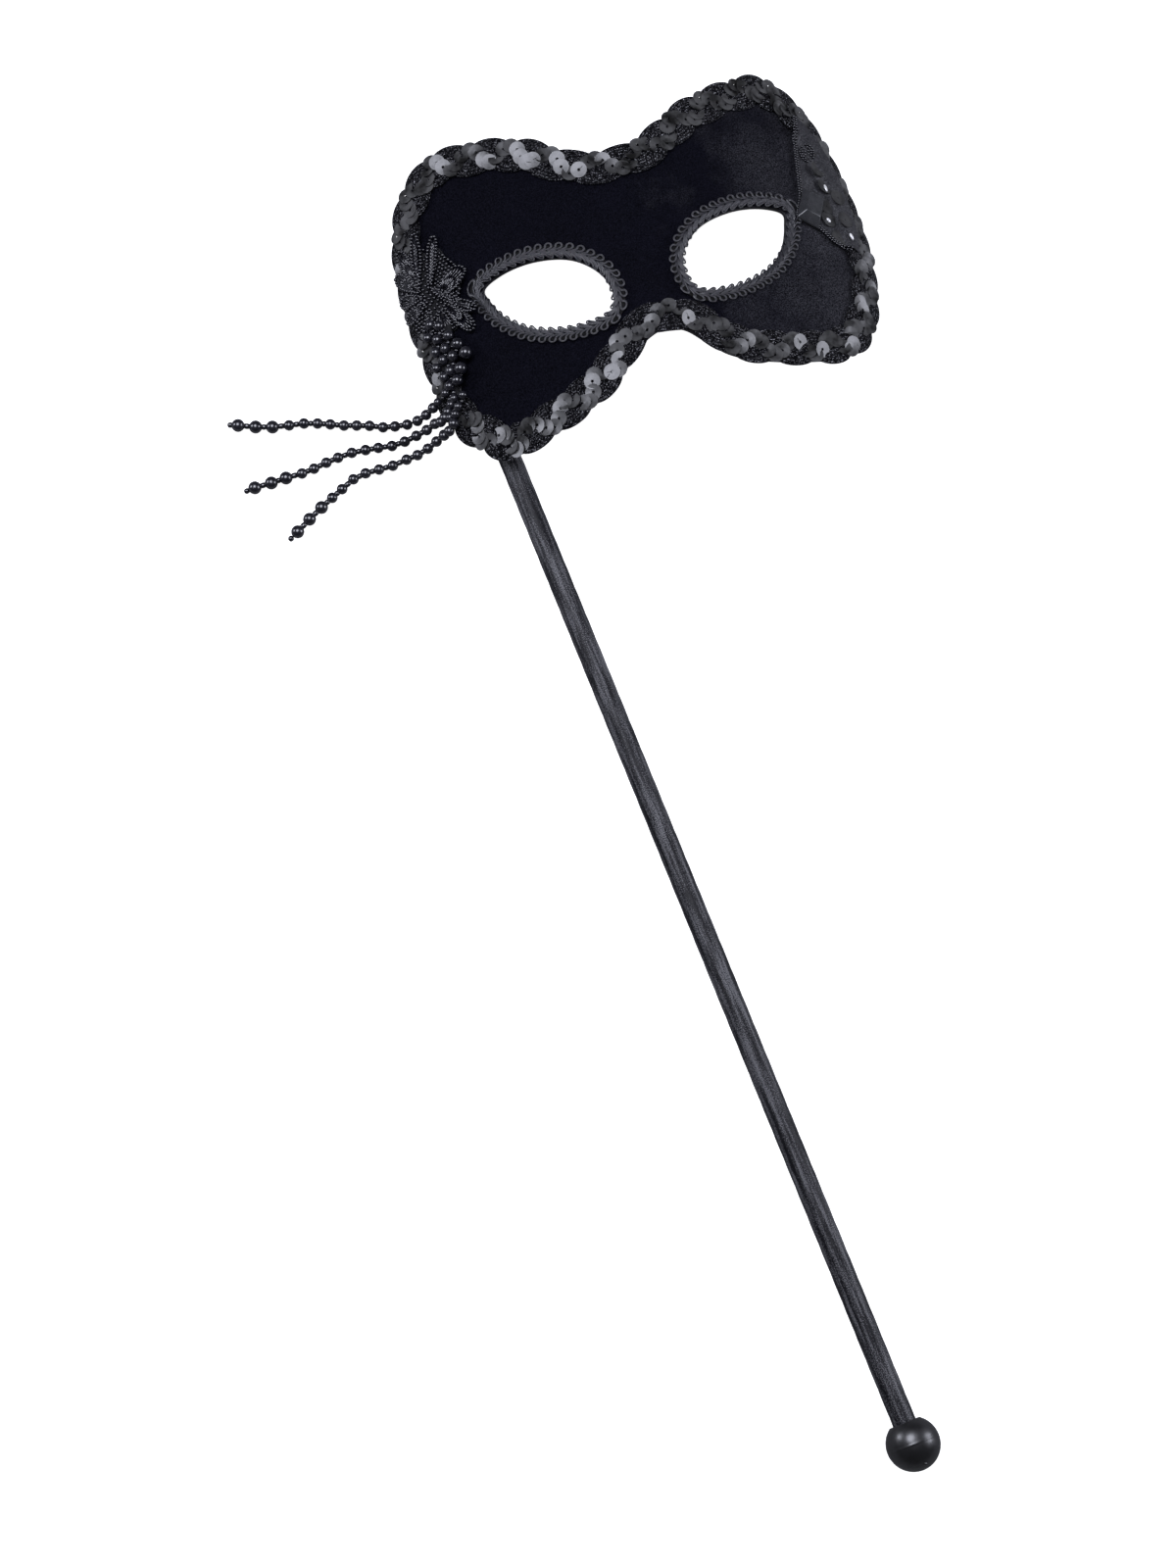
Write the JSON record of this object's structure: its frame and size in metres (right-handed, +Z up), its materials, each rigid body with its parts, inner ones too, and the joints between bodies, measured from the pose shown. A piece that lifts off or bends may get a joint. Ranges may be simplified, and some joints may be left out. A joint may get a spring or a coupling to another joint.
{
  "type": "masquerade mask on stick",
  "caption": "Half face mask in black velvet with sequin edge trim, braided eye holes, beaded flower and pearl tassels, held up by a ribbon wound stick with a ball end, lying face up.",
  "frame": {"origin": "on the table, under the middle of the whole lying object's box", "axes": "+Z up from the table, out of the front of the face; +Y towards the brow, with the ball end of the stick at -Y; +X to the viewer's right across the face"},
  "size_m": [0.242, 0.4944, 0.0411],
  "materials": {
    "shell_plastic": "moulded black plastic, fine grained on the inside",
    "velvet": "flocked black velvet",
    "lurex_braid": "black braid with glitter thread",
    "sequins": "glossy smoke grey sequins",
    "gimp_braid": "black corded gimp",
    "black_beads": "glossy black beads",
    "satin": "dark grey satin",
    "cut_stone": "faceted smoke grey stone",
    "ribbon": "black satin ribbon",
    "ball_plastic": "glossy black moulding",
    "bare_wood": "plain turned dowel",
    "glue": "clouded hot glue"
  },
  "bodies": {
    "root": {"mask_shell": "shell_plastic", "velvet_cover": "velvet", "edge_trim": "lurex_braid", "sequin_string": "sequins", "eye_braid_left": "gimp_braid", "eye_braid_right": "gimp_braid", "beaded_flower": "black_beads", "pearl_cluster": "black_beads", "pearl_strand_upper": "black_beads", "pearl_strand_middle": "black_beads", "pearl_strand_lower": "black_beads", "corner_patch": "satin", "patch_edging_upper": "black_beads", "patch_edging_lower": "black_beads", "faceted_stud": "cut_stone", "glue_bed": "glue", "stick": "bare_wood", "ribbon_wrap": "ribbon", "ball_finial": "ball_plastic"}
  },
  "joints": []
}
